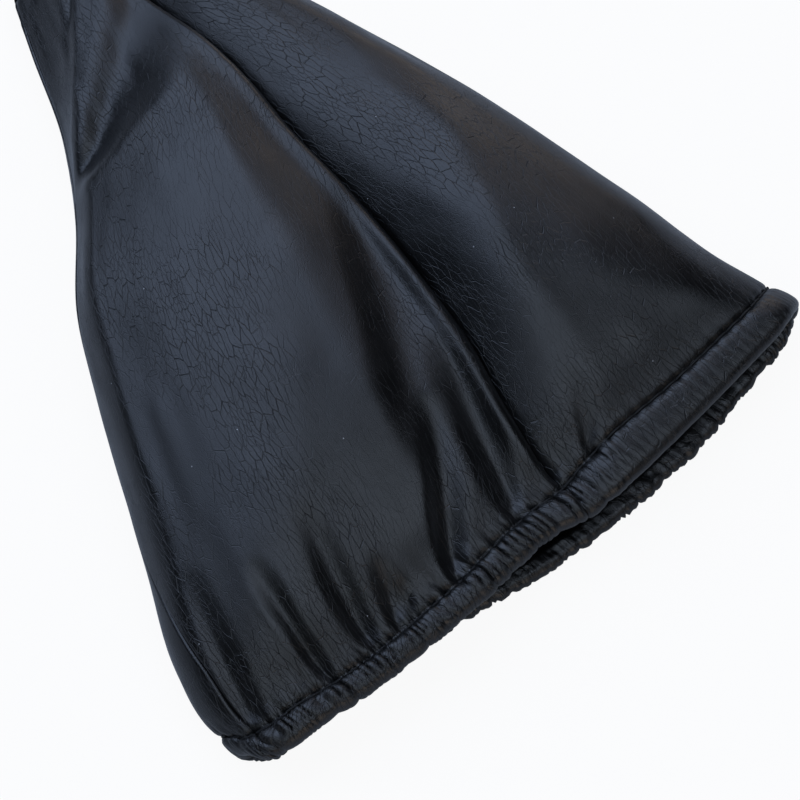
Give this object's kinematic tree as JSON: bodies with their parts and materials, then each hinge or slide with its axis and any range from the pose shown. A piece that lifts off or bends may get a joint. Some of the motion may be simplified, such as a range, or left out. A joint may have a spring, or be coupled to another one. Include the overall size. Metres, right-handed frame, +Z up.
{
  "type": "gear lever gaiter",
  "caption": "Soft leathercloth gaiter that closes the gap round a gear lever, sewn from tapered panels, with a stitched elastic hem, lying flat.",
  "frame": {"origin": "on the flat under side that the gaiter lies on, near the middle of its length and width", "axes": "+Y along the gaiter from the wide hem to the neck, +X across it with the under side down, +Z up out of the under side"},
  "size_m": [0.1972, 0.2402, 0.0416],
  "materials": {
    "leathercloth": "grained, satin",
    "elastic_webbing": "woven",
    "sewing_thread": "matte"
  },
  "bodies": {
    "root": {"upper_wide_panel": "leathercloth", "upper_narrow_panel": "leathercloth", "lower_wide_panel": "leathercloth", "lower_narrow_panel": "leathercloth", "hem_elastic": "elastic_webbing", "hem_thread": "sewing_thread", "neck_thread": "sewing_thread"}
  },
  "joints": []
}
